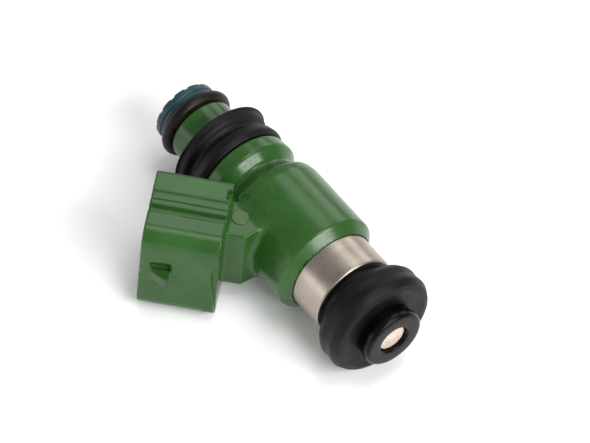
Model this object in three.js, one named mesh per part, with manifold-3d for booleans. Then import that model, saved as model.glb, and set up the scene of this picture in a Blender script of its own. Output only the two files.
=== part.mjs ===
// Top-feed petrol fuel injector, in millimetres.
// The injector axis is Y, with the nozzle at -Y and the fuel inlet at +Y.
// The origin is the centre of the orifice plate's outer face, where the fuel leaves.
// The plug socket leans out towards -X and the inlet. X-Y is the object's plane of symmetry.
import * as THREE from "three";
import { mergeVertices } from "three/addons/utils/BufferGeometryUtils.js";
import Module from "manifold-3d";

const wasm = await Module();
wasm.setup();

// ---- Driving dimensions ------------------------------------------------------------------
const ROUND_SEGMENTS = 36; // facets round the large turned pieces
const INNER_SEGMENTS = 24; // facets round the small pieces inside
const FIT_GAP = 0.06; // radial gap between pressed or moulded-in pieces
const SEAT_GAP = 0.04; // gap between two faces that sit on each other

// Nozzle end
const PLATE_RADIUS = 2.25;
const PLATE_THICKNESS = 0.2;
const SPRAY_HOLES = 8;
const SPRAY_HOLE_RADIUS = 0.13;
const SPRAY_CIRCLE_RADIUS = 1.1;
const TIP_FACE_Y = -0.7;
const TIP_REAR_Y = 0.8;
const TIP_RADIUS = 5.0;
const TIP_HUB_RADIUS = 4.8; // the hub behind the cap, round the nozzle
const TIP_HUB_REAR_Y = 2.0;
const TIP_BEVEL = 0.45;
const TIP_APERTURE_RADIUS = 2.42;
const TIP_LIP = 0.9; // thickness of the cap's end wall

// Valve body, seat, ball, needle and armature
const NOZZLE_RADIUS = 4.4;
const VALVE_FLANGE_RADIUS = 6.1;
const VALVE_FLANGE_Y = 10.3;
const VALVE_BODY_TOP_Y = 12.0;
const SEAT_RADIUS = 2.5;
const SEAT_TOP_Y = 3.6;
const SEAT_ORIFICE_RADIUS = 0.75;
const BALL_RADIUS = 1.5;
const BALL_CENTRE_Y = 2.35;
const BALL_GUIDE_RADIUS = 1.62;
const NEEDLE_RADIUS = 0.9;
const NEEDLE_BORE_RADIUS = 0.5;
const NEEDLE_TOP_Y = 12.6;
const ARMATURE_RADIUS = 3.0;
const ARMATURE_BOTTOM_Y = 9.2;
const ARMATURE_TOP_Y = 15.0;
const ARMATURE_BORE_RADIUS = 3.1;
const SPRING_POCKET_RADIUS = 1.75;
const SPRING_POCKET_FLOOR_Y = 12.9;
const CORE_GAP = 0.1; // air gap over the armature when the valve is shut

// Solenoid
const SHELL_RADIUS = 6.94;
const SHELL_WALL = 0.74;
const SHELL_BOTTOM_Y = 9.2;
const SHELL_TOP_Y = 22.0;
const SHELL_HOLE_RADIUS = 4.5;
const RING_RADIUS = 3.9;
const RING_TOP_Y = 16.5;
const BOBBIN_RADIUS = 4.6;
const BOBBIN_BOTTOM_Y = 12.3;
const BOBBIN_TOP_Y = 20.9;
const BOBBIN_FLANGE = 0.7;
const BOBBIN_FLANGE_RADIUS = 6.1;
const WINDING_RADIUS = 5.95;
const WASHER_TOP_Y = 22.1;
const WASHER_NOTCH_WIDTH = 8.4;
const CORE_SHOULDER_TOP_Y = 22.3;

// Inlet tube, adjusting tube, spring and filter
const TUBE_RADIUS = 3.1;
const TUBE_BORE_RADIUS = 1.9;
const TUBE_INLET_BORE_RADIUS = 2.5;
const TUBE_INLET_BORE_Y = 32.0;
const TUBE_END_RADIUS = 3.85;
const TUBE_END_BOTTOM_Y = 46.0;
const TUBE_TOP_Y = 50.1;
const ADJUSTER_BOTTOM_Y = 20.0;
const ADJUSTER_TOP_Y = 29.0;
const ADJUSTER_BORE_RADIUS = 1.2;
const SPRING_RADIUS = 1.4; // to the middle of the wire
const SPRING_WIRE_RADIUS = 0.2;
const SPRING_TURNS = 6;
const SPRING_STEPS_PER_TURN = 10;
const FILTER_RADIUS = 2.05;
const FILTER_WALL = 0.3;
const FILTER_BOTTOM_Y = 36.0;
const FILTER_TOP_Y = 47.0;
const CAP_RADIUS = 5.2;
const CAP_BOTTOM_Y = 50.2;
const CAP_GROOVE_Y = 50.95;
const CAP_TOP_Y = 52.4;
const CAP_BORE_RADIUS = 1.7;
const CAP_MOUTH_RADIUS = 3.6;
const CAP_NECK_RADIUS = 2.4;
const CAP_TEETH = 12;
const CAP_TOOTH_DEPTH = 0.5;

// Moulded housing
const BODY_BOTTOM_Y = 15.0;
const BODY_RADIUS = 8.5;
const SHOULDER_TOP_Y = 37.3; // where the grommet sits
const INLET_RADIUS = 5.3;
const INLET_TOP_Y = 48.0;
const GROMMET_BOTTOM_Y = 37.4;
const GROMMET_TOP_Y = 43.3;

// Plug socket: a lengthwise axis in X-Y, a thickness in X-Y and a width along Z
const PLUG_ANGLE = (44 * Math.PI) / 180; // between the injector axis and the plug axis
const MOUTH_X = -19.3;
const MOUTH_Y = 35.2;
const SHROUD_LENGTH = 11.8;
const SHROUD_HALF_THICKNESS = 6.65;
const SHROUD_HALF_WIDTH = 8.5;
const SHROUD_FRONT_CORNER = 2.8;
const SHROUD_REAR_CORNER = 0.9;
const SHROUD_WALL = 1.4;
const SOCKET_DEPTH = 10.2;
const SOCKET_CORNER = 1.2;
const SHALLOW_GROOVE_FROM = -2.5; // across the narrow side, measured towards the front face
const SHALLOW_GROOVE_TO = -0.95;
const SHALLOW_GROOVE_DEPTH = 0.3;
const DEEP_GROOVE_FROM = 0.3;
const DEEP_GROOVE_TO = 1.3;
const DEEP_GROOVE_DEPTH = 0.6;
const EDGE_NOTCH_FROM = -4.9;
const EDGE_NOTCH_TO = -3.0;
const EDGE_NOTCH_DEPTH = 0.7; // the notch in the rear edge of each narrow side
const EDGE_NOTCH_REACH = 1.2;
const STEP_LENGTH = 1.4; // the lower strip along the rear edge of the broad front face
const STEP_DEPTH = 0.45;
const STEP_TOP_Z = 4.2;
const LATCH_WIDTH = 2.0;
const LATCH_START = 1.7; // from the mouth
const LATCH_LENGTH = 2.9;
const LATCH_HEIGHT = 1.5;
const LATCH_POCKET_WIDTH = 1.7;
const LATCH_POCKET_DEPTH = 0.9;
const NECK_END_Y = 23.6;
const NECK_CORNER_X = -9.9;
const NECK_ROOT_X = -4; // inside the body
const NECK_ROOT_TOP_Y = 27.3;
const NECK_OVERLAP = 0.6; // into the shroud's rear wall
const NECK_HALF_WIDTH = 5.7;
const NECK_TOP_OFFSET = 5.2; // from the plug axis to the neck's inlet side

// Terminal blades
const BLADE_THICKNESS = 0.64;
const BLADE_WIDTH = 2.0;
const BLADE_SPACING = 4.0;
const BLADE_TIP_DEPTH = 6.2; // below the mouth
const BLADE_FOOT_X = -4.9;
const BLADE_CHANNEL_GAP = 0.25;
const BLADE_BEND_Y = 24.7;

// Rubber seals
const O_RING_SECTION = 1.08;
const O_RING_CENTRE_RADIUS = 5.04;
const O_RING_Y = 49.1;
const SEAL_FRONT_Y = 1.95; // the face that seats in the manifold
const SEAL_FACE_INNER_RADIUS = 5.3;
const SEAL_FACE_OUTER_RADIUS = 7.6;
const SEAL_NECK_RADIUS = 6.0;

// ---- Materials ---------------------------------------------------------------------------
function material(color, roughness, metalness) {
  return new THREE.MeshStandardMaterial({ color, roughness, metalness });
}

const GREEN_PLASTIC = material(0x4f7a47, 0.42, 0);
const TEAL_PLASTIC = material(0x2f6f7f, 0.4, 0);
const BLACK_RUBBER = material(0x1d1c1c, 0.75, 0);
const O_RING_RUBBER = material(0x2b211f, 0.5, 0);
const GLOSS_BLACK = material(0x141414, 0.2, 0);
const STEEL = material(0xb0a598, 0.32, 1);
const PLATE_METAL = material(0xcdbcae, 0.4, 1);
const TINNED_BRASS = material(0xc9b98a, 0.3, 1);
const COPPER = material(0xb0643a, 0.35, 1);
const BOBBIN_PLASTIC = material(0x6a5a48, 0.6, 0);
const FILTER_NYLON = material(0xe4e0d2, 0.8, 0);

// ---- Helpers -----------------------------------------------------------------------------
const root = new THREE.Group();

function add(name, geometry, surface) {
  const mesh = new THREE.Mesh(geometry, surface);
  mesh.name = name;
  root.add(mesh);
}

// A turned solid that touches the axis: its profile starts and ends at radius 0.
function turned(profile, segments = ROUND_SEGMENTS) {
  const points = profile.map(([r, y]) => new THREE.Vector2(r, y));
  return new THREE.LatheGeometry(points, segments);
}

// A turned ring: its profile runs up the outside, back down the bore, and closes on itself.
function ring(profile, segments = ROUND_SEGMENTS) {
  return turned([...profile, profile[0]], segments);
}

// Points along an arc in a turned profile, from one angle to another.
function arc(r, y, radius, from, to, steps) {
  return Array.from({ length: steps + 1 }, (_, i) => {
    const angle = from + ((to - from) * i) / steps;
    return [r + radius * Math.cos(angle), y + radius * Math.sin(angle)];
  });
}

function solid(geometry) {
  const bare = geometry.clone();
  bare.deleteAttribute("normal");
  bare.deleteAttribute("uv");
  const merged = mergeVertices(bare, 1e-4);
  const vertProperties = merged.attributes.position.array;
  const triVerts = new Uint32Array(merged.index.array);
  return new wasm.Manifold(new wasm.Mesh({ numProp: 3, vertProperties, triVerts }));
}

function geometryOf(manifold) {
  const mesh = manifold.getMesh();
  const geometry = new THREE.BufferGeometry();
  geometry.setAttribute("position", new THREE.BufferAttribute(mesh.vertProperties, 3));
  geometry.setIndex(new THREE.BufferAttribute(mesh.triVerts, 1));
  const flat = geometry.toNonIndexed();
  flat.computeVertexNormals();
  return flat;
}

function shapeOf(points) {
  return new THREE.Shape(points.map(([x, y]) => new THREE.Vector2(x, y)));
}

// A shape extruded along Z between two heights.
function prism(shape, from, to, curveSegments = 6) {
  const options = { depth: to - from, bevelEnabled: false, curveSegments };
  return new THREE.ExtrudeGeometry(shape, options).translate(0, 0, from);
}

// The plug's own frame: X is outwards through the broad front face, Y is the object's Z, and Z
// runs out of the mouth. Its origin is the mouth's centre.
const plugOut = new THREE.Vector3(-Math.sin(PLUG_ANGLE), Math.cos(PLUG_ANGLE), 0);
const plugFront = new THREE.Vector3(-Math.cos(PLUG_ANGLE), -Math.sin(PLUG_ANGLE), 0);
const plugFrame = new THREE.Matrix4()
  .makeBasis(plugFront, new THREE.Vector3(0, 0, 1), plugOut)
  .setPosition(MOUTH_X, MOUTH_Y, 0);

// A point of the plug frame, in X and Y of the object.
function plugPoint(front, out) {
  const p = new THREE.Vector3(front, 0, out).applyMatrix4(plugFrame);
  return [p.x, p.y];
}

function roundedBox(x0, x1, halfHeight, cornerLow, cornerHigh) {
  const shape = new THREE.Shape();
  shape.moveTo(x0 + cornerLow, -halfHeight);
  shape.lineTo(x1 - cornerHigh, -halfHeight);
  shape.absarc(x1 - cornerHigh, cornerHigh - halfHeight, cornerHigh, -Math.PI / 2, 0, false);
  shape.lineTo(x1, halfHeight - cornerHigh);
  shape.absarc(x1 - cornerHigh, halfHeight - cornerHigh, cornerHigh, 0, Math.PI / 2, false);
  shape.lineTo(x0 + cornerLow, halfHeight);
  shape.absarc(x0 + cornerLow, halfHeight - cornerLow, cornerLow, Math.PI / 2, Math.PI, false);
  shape.lineTo(x0, cornerLow - halfHeight);
  shape.absarc(x0 + cornerLow, cornerLow - halfHeight, cornerLow, Math.PI, Math.PI * 1.5, false);
  return shape;
}

// The outline of a bent strip of constant thickness, from its middle line.
function strip(line, thickness) {
  const half = thickness / 2;
  const directions = line.slice(1).map(([x, y], i) => {
    const length = Math.hypot(x - line[i][0], y - line[i][1]);
    return [(x - line[i][0]) / length, (y - line[i][1]) / length];
  });
  const offset = line.map(([x, y], i) => {
    const before = directions[Math.max(i - 1, 0)];
    const after = directions[Math.min(i, directions.length - 1)];
    const sum = [before[0] + after[0], before[1] + after[1]];
    const mitre = half / (sum[0] * before[0] + sum[1] * before[1]);
    return [-sum[1] * mitre, sum[0] * mitre];
  });
  const left = line.map(([x, y], i) => [x + offset[i][0], y + offset[i][1]]);
  const right = line.map(([x, y], i) => [x - offset[i][0], y - offset[i][1]]);
  return shapeOf([...right, ...left.reverse()]);
}

// ---- Moulded housing ---------------------------------------------------------------------
const BODY_PROFILE = [
  [0, BODY_BOTTOM_Y],
  [7.16, BODY_BOTTOM_Y],
  [8.3, 16.45],
  [BODY_RADIUS, 16.9],
  [BODY_RADIUS, 28.2],
  [8.35, 29.6],
  [7.95, 30.8],
  [7.3, 31.5],
  [6.7, 31.9],
  [6.45, 32.4],
  [6.5, 32.9],
  [6.8, 33.4],
  [7.3, 34.1],
  [7.6, 35.1],
  [7.75, 36.2],
  [7.7, 37.0],
  [7.4, SHOULDER_TOP_Y],
  [INLET_RADIUS, SHOULDER_TOP_Y],
  [INLET_RADIUS, INLET_TOP_Y - 0.3],
  [INLET_RADIUS - 0.3, INLET_TOP_Y],
  [0, INLET_TOP_Y],
];

const BORE_PROFILE = [
  [0, BODY_BOTTOM_Y - 1],
  [SHELL_RADIUS + FIT_GAP, BODY_BOTTOM_Y - 1],
  [SHELL_RADIUS + FIT_GAP, CORE_SHOULDER_TOP_Y + SEAT_GAP],
  [TUBE_RADIUS + FIT_GAP, CORE_SHOULDER_TOP_Y + SEAT_GAP],
  [TUBE_RADIUS + FIT_GAP, TUBE_END_BOTTOM_Y - SEAT_GAP],
  [TUBE_END_RADIUS + FIT_GAP, TUBE_END_BOTTOM_Y - SEAT_GAP],
  [TUBE_END_RADIUS + FIT_GAP, INLET_TOP_Y + 1],
  [0, INLET_TOP_Y + 1],
];

// The terminal's middle line: up from the bobbin, out of the body, then along the plug axis.
const plugAxisAtBend = MOUTH_X + (MOUTH_Y - BLADE_BEND_Y) * Math.tan(PLUG_ANGLE);
const BLADE_LINE = [
  [BLADE_FOOT_X, BOBBIN_TOP_Y + SEAT_GAP],
  [BLADE_FOOT_X, BLADE_BEND_Y],
  [plugAxisAtBend, BLADE_BEND_Y],
  plugPoint(0, -BLADE_TIP_DEPTH),
];

function bladePrism(line, thickness, width, z) {
  return prism(strip(line, thickness), z - width / 2, z + width / 2);
}

function shroudOutline() {
  return roundedBox(
    -SHROUD_HALF_THICKNESS,
    SHROUD_HALF_THICKNESS,
    SHROUD_HALF_WIDTH,
    SHROUD_REAR_CORNER,
    SHROUD_FRONT_CORNER,
  );
}

// A box in the plug frame, mirrored onto both narrow sides of the shroud, that cuts to a depth.
function sideCuts(frontFrom, frontTo, depth, outFrom, outTo) {
  return [-1, 1].map((side) => {
    const low = side * (SHROUD_HALF_WIDTH - depth);
    const high = side * (SHROUD_HALF_WIDTH + 1);
    const box = new THREE.BoxGeometry(frontTo - frontFrom, Math.abs(high - low), outTo - outFrom);
    return box.translate((frontFrom + frontTo) / 2, (low + high) / 2, (outFrom + outTo) / 2);
  });
}

// Two lengthwise grooves in each narrow side of the shroud, and a notch in its rear edge.
function shroudCuts() {
  const rear = -SHROUD_LENGTH;
  return [
    ...sideCuts(SHALLOW_GROOVE_FROM, SHALLOW_GROOVE_TO, SHALLOW_GROOVE_DEPTH, rear - 1, 1),
    ...sideCuts(DEEP_GROOVE_FROM, DEEP_GROOVE_TO, DEEP_GROOVE_DEPTH, rear - 1, 1),
    ...sideCuts(EDGE_NOTCH_FROM, EDGE_NOTCH_TO, EDGE_NOTCH_REACH, rear - 1, rear + EDGE_NOTCH_DEPTH),
  ];
}

function socketCavity() {
  const inner = roundedBox(
    SHROUD_WALL - SHROUD_HALF_THICKNESS,
    SHROUD_HALF_THICKNESS - SHROUD_WALL,
    SHROUD_HALF_WIDTH - SHROUD_WALL,
    SOCKET_CORNER,
    SOCKET_CORNER,
  );
  return prism(inner, -SOCKET_DEPTH, 1);
}

// The strip along the rear edge of the broad front face, a little lower than the face.
function rearStep() {
  const height = STEP_TOP_Z + SHROUD_HALF_WIDTH + 1;
  const box = new THREE.BoxGeometry(STEP_DEPTH + 1, height, STEP_LENGTH + 1);
  return box.translate(
    SHROUD_HALF_THICKNESS - STEP_DEPTH + (STEP_DEPTH + 1) / 2,
    STEP_TOP_Z - height / 2,
    -SHROUD_LENGTH + STEP_LENGTH - (STEP_LENGTH + 1) / 2,
  );
}

// A ramp that rises away from the mouth, in the middle of the broad front face.
function latchRamp() {
  const inside = SHROUD_HALF_THICKNESS - 0.5;
  const crest = SHROUD_HALF_THICKNESS + LATCH_HEIGHT;
  const rear = -LATCH_START - LATCH_LENGTH;
  const side = shapeOf([
    [inside, rear],
    [crest, rear],
    [crest, rear + 0.5],
    [SHROUD_HALF_THICKNESS, -LATCH_START],
    [inside, -LATCH_START],
  ]);
  return prism(side, -LATCH_WIDTH / 2, LATCH_WIDTH / 2).rotateX(Math.PI / 2);
}

function latchPocket() {
  const box = new THREE.BoxGeometry(LATCH_POCKET_DEPTH + 1, LATCH_POCKET_WIDTH, LATCH_LENGTH);
  return box.translate(
    SHROUD_HALF_THICKNESS - LATCH_POCKET_DEPTH + (LATCH_POCKET_DEPTH + 1) / 2,
    LATCH_WIDTH / 2 + LATCH_POCKET_WIDTH / 2,
    -LATCH_START - LATCH_LENGTH / 2,
  );
}

// The arm between the body and the shroud. Its nozzle end is square to the injector axis.
function neck() {
  const cornerFront = (NECK_CORNER_X - MOUTH_X) * plugFront.x + (NECK_END_Y - MOUTH_Y) * plugFront.y;
  const shroudEnd = -SHROUD_LENGTH + NECK_OVERLAP;
  const outline = shapeOf([
    [NECK_ROOT_X, NECK_END_Y],
    [NECK_ROOT_X, NECK_ROOT_TOP_Y],
    plugPoint(-NECK_TOP_OFFSET, shroudEnd),
    plugPoint(cornerFront, shroudEnd),
    [NECK_CORNER_X, NECK_END_Y],
  ]);
  return prism(outline, -NECK_HALF_WIDTH, NECK_HALF_WIDTH);
}

function housing() {
  const inPlug = (geometry) => solid(geometry.applyMatrix4(plugFrame));
  let made = solid(turned(BODY_PROFILE));
  made = made.add(solid(neck()));
  let shroud = solid(prism(shroudOutline(), -SHROUD_LENGTH, 0));
  for (const cut of shroudCuts()) shroud = shroud.subtract(solid(cut));
  shroud = shroud.subtract(solid(rearStep())).add(solid(latchRamp()));
  shroud = shroud.subtract(solid(latchPocket()));
  made = made.add(inPlug(geometryOf(shroud)));
  made = made.subtract(inPlug(socketCavity()));
  made = made.subtract(solid(turned(BORE_PROFILE)));
  for (const side of [-1, 1]) {
    const channel = bladePrism(
      [[BLADE_FOOT_X, CORE_SHOULDER_TOP_Y - 0.5], ...BLADE_LINE.slice(1)],
      BLADE_THICKNESS + 2 * BLADE_CHANNEL_GAP,
      BLADE_WIDTH + 2 * BLADE_CHANNEL_GAP,
      (side * BLADE_SPACING) / 2,
    );
    made = made.subtract(solid(channel));
  }
  return geometryOf(made);
}

add("housing", housing(), GREEN_PLASTIC);

// ---- Terminal blades ---------------------------------------------------------------------
for (const [name, side] of [["terminal_blade_a", 1], ["terminal_blade_b", -1]]) {
  const z = (side * BLADE_SPACING) / 2;
  add(name, bladePrism(BLADE_LINE, BLADE_THICKNESS, BLADE_WIDTH, z), TINNED_BRASS);
}

// ---- Inlet end ---------------------------------------------------------------------------
const CORE_BOTTOM_Y = ARMATURE_TOP_Y + CORE_GAP;

add(
  "inlet_tube",
  ring([
    [TUBE_BORE_RADIUS, CORE_BOTTOM_Y],
    [TUBE_RADIUS, CORE_BOTTOM_Y],
    [TUBE_RADIUS, RING_TOP_Y + SEAT_GAP],
    [RING_RADIUS, RING_TOP_Y + SEAT_GAP],
    [RING_RADIUS, CORE_SHOULDER_TOP_Y],
    [TUBE_RADIUS, CORE_SHOULDER_TOP_Y],
    [TUBE_RADIUS, TUBE_END_BOTTOM_Y],
    [TUBE_END_RADIUS, TUBE_END_BOTTOM_Y],
    [TUBE_END_RADIUS, TUBE_TOP_Y],
    [TUBE_INLET_BORE_RADIUS, TUBE_TOP_Y],
    [TUBE_INLET_BORE_RADIUS, TUBE_INLET_BORE_Y],
    [TUBE_BORE_RADIUS, TUBE_INLET_BORE_Y - 0.6],
  ]),
  STEEL,
);

add(
  "adjusting_tube",
  ring(
    [
      [ADJUSTER_BORE_RADIUS, ADJUSTER_BOTTOM_Y],
      [TUBE_BORE_RADIUS - FIT_GAP, ADJUSTER_BOTTOM_Y],
      [TUBE_BORE_RADIUS - FIT_GAP, ADJUSTER_TOP_Y],
      [ADJUSTER_BORE_RADIUS, ADJUSTER_TOP_Y],
    ],
    ROUND_SEGMENTS,
  ),
  STEEL,
);

add(
  "filter_mesh",
  turned(
    [
      [0, FILTER_BOTTOM_Y],
      [FILTER_RADIUS - 0.2, FILTER_BOTTOM_Y],
      [FILTER_RADIUS, FILTER_TOP_Y],
      [FILTER_RADIUS - FILTER_WALL, FILTER_TOP_Y],
      [FILTER_RADIUS - FILTER_WALL - 0.2, FILTER_BOTTOM_Y + FILTER_WALL],
      [0, FILTER_BOTTOM_Y + FILTER_WALL],
    ],
    INNER_SEGMENTS,
  ),
  FILTER_NYLON,
);

// The filter's plastic head, with a groove round its rim and teeth round its open end.
function filterCap() {
  const rim = ring([
    [CAP_BORE_RADIUS, FILTER_TOP_Y + SEAT_GAP],
    [CAP_NECK_RADIUS, FILTER_TOP_Y + SEAT_GAP],
    [CAP_NECK_RADIUS, CAP_BOTTOM_Y],
    [CAP_RADIUS - 0.15, CAP_BOTTOM_Y],
    [CAP_RADIUS, CAP_BOTTOM_Y + 0.15],
    [CAP_RADIUS, CAP_GROOVE_Y - 0.1],
    [CAP_RADIUS - 0.25, CAP_GROOVE_Y],
    [CAP_RADIUS - 0.1, CAP_GROOVE_Y + 0.15],
    [CAP_RADIUS - 0.1, CAP_TOP_Y - 0.2],
    [CAP_RADIUS - 0.3, CAP_TOP_Y],
    [CAP_MOUTH_RADIUS, CAP_TOP_Y],
    [CAP_MOUTH_RADIUS - 0.5, CAP_TOP_Y - 0.7],
    [CAP_BORE_RADIUS, CAP_TOP_Y - 0.9],
  ]);
  let made = solid(rim);
  for (let i = 0; i < CAP_TEETH; i++) {
    const gap = new THREE.BoxGeometry(2, 2 * CAP_TOOTH_DEPTH, 1.0);
    gap.translate(CAP_RADIUS - 0.2, CAP_TOP_Y, 0);
    gap.rotateY(((i + 0.5) * 2 * Math.PI) / CAP_TEETH);
    made = made.subtract(solid(gap));
  }
  return geometryOf(made);
}

add("filter_cap", filterCap(), TEAL_PLASTIC);

add(
  "inlet_o_ring",
  ring(arc(O_RING_CENTRE_RADIUS, O_RING_Y, O_RING_SECTION, 0, 2 * Math.PI, 10).slice(0, -1)),
  O_RING_RUBBER,
);

add(
  "upper_grommet",
  ring([
    [INLET_RADIUS + FIT_GAP, GROMMET_BOTTOM_Y],
    [7.5, GROMMET_BOTTOM_Y],
    [7.9, 37.65],
    [8.05, 38.3],
    [7.95, 39.1],
    [7.5, 39.8],
    [6.95, 40.25],
    [6.85, 40.75],
    [7.05, 41.2],
    [7.55, 41.6],
    [7.85, 42.1],
    [7.95, 42.7],
    [8.3, 42.9],
    [8.25, 43.15],
    [7.5, GROMMET_TOP_Y],
    [INLET_RADIUS + FIT_GAP, GROMMET_TOP_Y],
  ]),
  BLACK_RUBBER,
);

// ---- Solenoid ----------------------------------------------------------------------------
const SHELL_BORE_RADIUS = SHELL_RADIUS - SHELL_WALL;

add(
  "solenoid_shell",
  ring([
    [SHELL_HOLE_RADIUS, SHELL_BOTTOM_Y],
    [SHELL_RADIUS - 0.3, SHELL_BOTTOM_Y],
    [SHELL_RADIUS, SHELL_BOTTOM_Y + 0.3],
    [SHELL_RADIUS, SHELL_TOP_Y],
    [SHELL_BORE_RADIUS, SHELL_TOP_Y],
    [SHELL_BORE_RADIUS, VALVE_FLANGE_Y - SEAT_GAP],
    [SHELL_HOLE_RADIUS, VALVE_FLANGE_Y - SEAT_GAP],
  ]),
  STEEL,
);

add(
  "coil_bobbin",
  ring([
    [RING_RADIUS + FIT_GAP, BOBBIN_BOTTOM_Y],
    [BOBBIN_FLANGE_RADIUS, BOBBIN_BOTTOM_Y],
    [BOBBIN_FLANGE_RADIUS, BOBBIN_BOTTOM_Y + BOBBIN_FLANGE],
    [BOBBIN_RADIUS, BOBBIN_BOTTOM_Y + BOBBIN_FLANGE],
    [BOBBIN_RADIUS, BOBBIN_TOP_Y - BOBBIN_FLANGE],
    [BOBBIN_FLANGE_RADIUS, BOBBIN_TOP_Y - BOBBIN_FLANGE],
    [BOBBIN_FLANGE_RADIUS, BOBBIN_TOP_Y],
    [RING_RADIUS + FIT_GAP, BOBBIN_TOP_Y],
  ]),
  BOBBIN_PLASTIC,
);

add(
  "coil_winding",
  ring([
    [BOBBIN_RADIUS + FIT_GAP, BOBBIN_BOTTOM_Y + BOBBIN_FLANGE + SEAT_GAP],
    [WINDING_RADIUS, BOBBIN_BOTTOM_Y + BOBBIN_FLANGE + SEAT_GAP],
    [WINDING_RADIUS, BOBBIN_TOP_Y - BOBBIN_FLANGE - SEAT_GAP],
    [BOBBIN_RADIUS + FIT_GAP, BOBBIN_TOP_Y - BOBBIN_FLANGE - SEAT_GAP],
  ]),
  COPPER,
);

// A flat steel washer with a notch that lets the terminals through.
function yokeWasher() {
  const flat = ring([
    [RING_RADIUS + FIT_GAP, BOBBIN_TOP_Y + SEAT_GAP],
    [SHELL_BORE_RADIUS - FIT_GAP, BOBBIN_TOP_Y + SEAT_GAP],
    [SHELL_BORE_RADIUS - FIT_GAP, WASHER_TOP_Y],
    [RING_RADIUS + FIT_GAP, WASHER_TOP_Y],
  ]);
  const notch = new THREE.BoxGeometry(2 * SHELL_RADIUS, 4, WASHER_NOTCH_WIDTH);
  notch.translate(-SHELL_RADIUS - 2.4, WASHER_TOP_Y, 0);
  return geometryOf(solid(flat).subtract(solid(notch)));
}

add("yoke_washer", yokeWasher(), STEEL);

add(
  "nonmagnetic_ring",
  ring([
    [TUBE_RADIUS + FIT_GAP, VALVE_BODY_TOP_Y + SEAT_GAP],
    [RING_RADIUS, VALVE_BODY_TOP_Y + SEAT_GAP],
    [RING_RADIUS, RING_TOP_Y],
    [TUBE_RADIUS + FIT_GAP, RING_TOP_Y],
  ]),
  STEEL,
);

// ---- Nozzle ------------------------------------------------------------------------------
add(
  "valve_body",
  ring([
    [SEAT_RADIUS + FIT_GAP, PLATE_THICKNESS + SEAT_GAP],
    [NOZZLE_RADIUS, PLATE_THICKNESS + SEAT_GAP],
    [NOZZLE_RADIUS, VALVE_FLANGE_Y],
    [VALVE_FLANGE_RADIUS, VALVE_FLANGE_Y],
    [VALVE_FLANGE_RADIUS, VALVE_BODY_TOP_Y],
    [ARMATURE_BORE_RADIUS, VALVE_BODY_TOP_Y],
    [ARMATURE_BORE_RADIUS, ARMATURE_BOTTOM_Y - 0.8],
    [SEAT_RADIUS + FIT_GAP, ARMATURE_BOTTOM_Y - 1.4],
  ]),
  STEEL,
);

// The ball touches its cone where the cone's slope is 45 degrees.
const CONE_TOUCH_RADIUS = BALL_RADIUS * Math.SQRT1_2;
const CONE_TOUCH_Y = BALL_CENTRE_Y - CONE_TOUCH_RADIUS - SEAT_GAP;

add(
  "valve_seat",
  ring(
    [
      [SEAT_ORIFICE_RADIUS, PLATE_THICKNESS + SEAT_GAP],
      [SEAT_RADIUS, PLATE_THICKNESS + SEAT_GAP],
      [SEAT_RADIUS, SEAT_TOP_Y],
      [BALL_GUIDE_RADIUS, SEAT_TOP_Y],
      [BALL_GUIDE_RADIUS, CONE_TOUCH_Y + BALL_GUIDE_RADIUS - CONE_TOUCH_RADIUS],
      [SEAT_ORIFICE_RADIUS, CONE_TOUCH_Y + SEAT_ORIFICE_RADIUS - CONE_TOUCH_RADIUS],
    ],
    ROUND_SEGMENTS,
  ),
  STEEL,
);

add(
  "valve_ball",
  turned(
    arc(0, BALL_CENTRE_Y, BALL_RADIUS, -Math.PI / 2, Math.PI / 2, 12).map(([r, y], i, all) =>
      i === 0 || i === all.length - 1 ? [0, y] : [r, y],
    ),
    ROUND_SEGMENTS,
  ),
  STEEL,
);

const NEEDLE_BOTTOM_Y =
  BALL_CENTRE_Y + Math.sqrt(BALL_RADIUS ** 2 - NEEDLE_BORE_RADIUS ** 2) + SEAT_GAP;

add(
  "needle",
  ring(
    [
      [NEEDLE_BORE_RADIUS, NEEDLE_BOTTOM_Y],
      [NEEDLE_RADIUS, NEEDLE_BOTTOM_Y],
      [NEEDLE_RADIUS, NEEDLE_TOP_Y],
      [NEEDLE_BORE_RADIUS, NEEDLE_TOP_Y],
    ],
    INNER_SEGMENTS,
  ),
  STEEL,
);

add(
  "armature",
  ring(
    [
      [NEEDLE_RADIUS + FIT_GAP, ARMATURE_BOTTOM_Y],
      [ARMATURE_RADIUS, ARMATURE_BOTTOM_Y],
      [ARMATURE_RADIUS, ARMATURE_TOP_Y],
      [SPRING_POCKET_RADIUS, ARMATURE_TOP_Y],
      [SPRING_POCKET_RADIUS, SPRING_POCKET_FLOOR_Y],
      [NEEDLE_RADIUS + FIT_GAP, SPRING_POCKET_FLOOR_Y],
    ],
    INNER_SEGMENTS,
  ),
  STEEL,
);

// A helix with a little more pitch at rest than the wire needs.
class Helix extends THREE.Curve {
  getPoint(t, target = new THREE.Vector3()) {
    const angle = t * SPRING_TURNS * 2 * Math.PI;
    const low = SPRING_POCKET_FLOOR_Y + SPRING_WIRE_RADIUS + 2 * SEAT_GAP;
    const high = ADJUSTER_BOTTOM_Y - SPRING_WIRE_RADIUS - 2 * SEAT_GAP;
    const y = low + (high - low) * t;
    return target.set(SPRING_RADIUS * Math.cos(angle), y, SPRING_RADIUS * Math.sin(angle));
  }
}

const wireSection = new THREE.Shape().absarc(0, 0, SPRING_WIRE_RADIUS, 0, 2 * Math.PI, false);
add(
  "return_spring",
  new THREE.ExtrudeGeometry(wireSection, {
    steps: SPRING_TURNS * SPRING_STEPS_PER_TURN,
    curveSegments: 3,
    extrudePath: new Helix(),
  }),
  STEEL,
);

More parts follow.
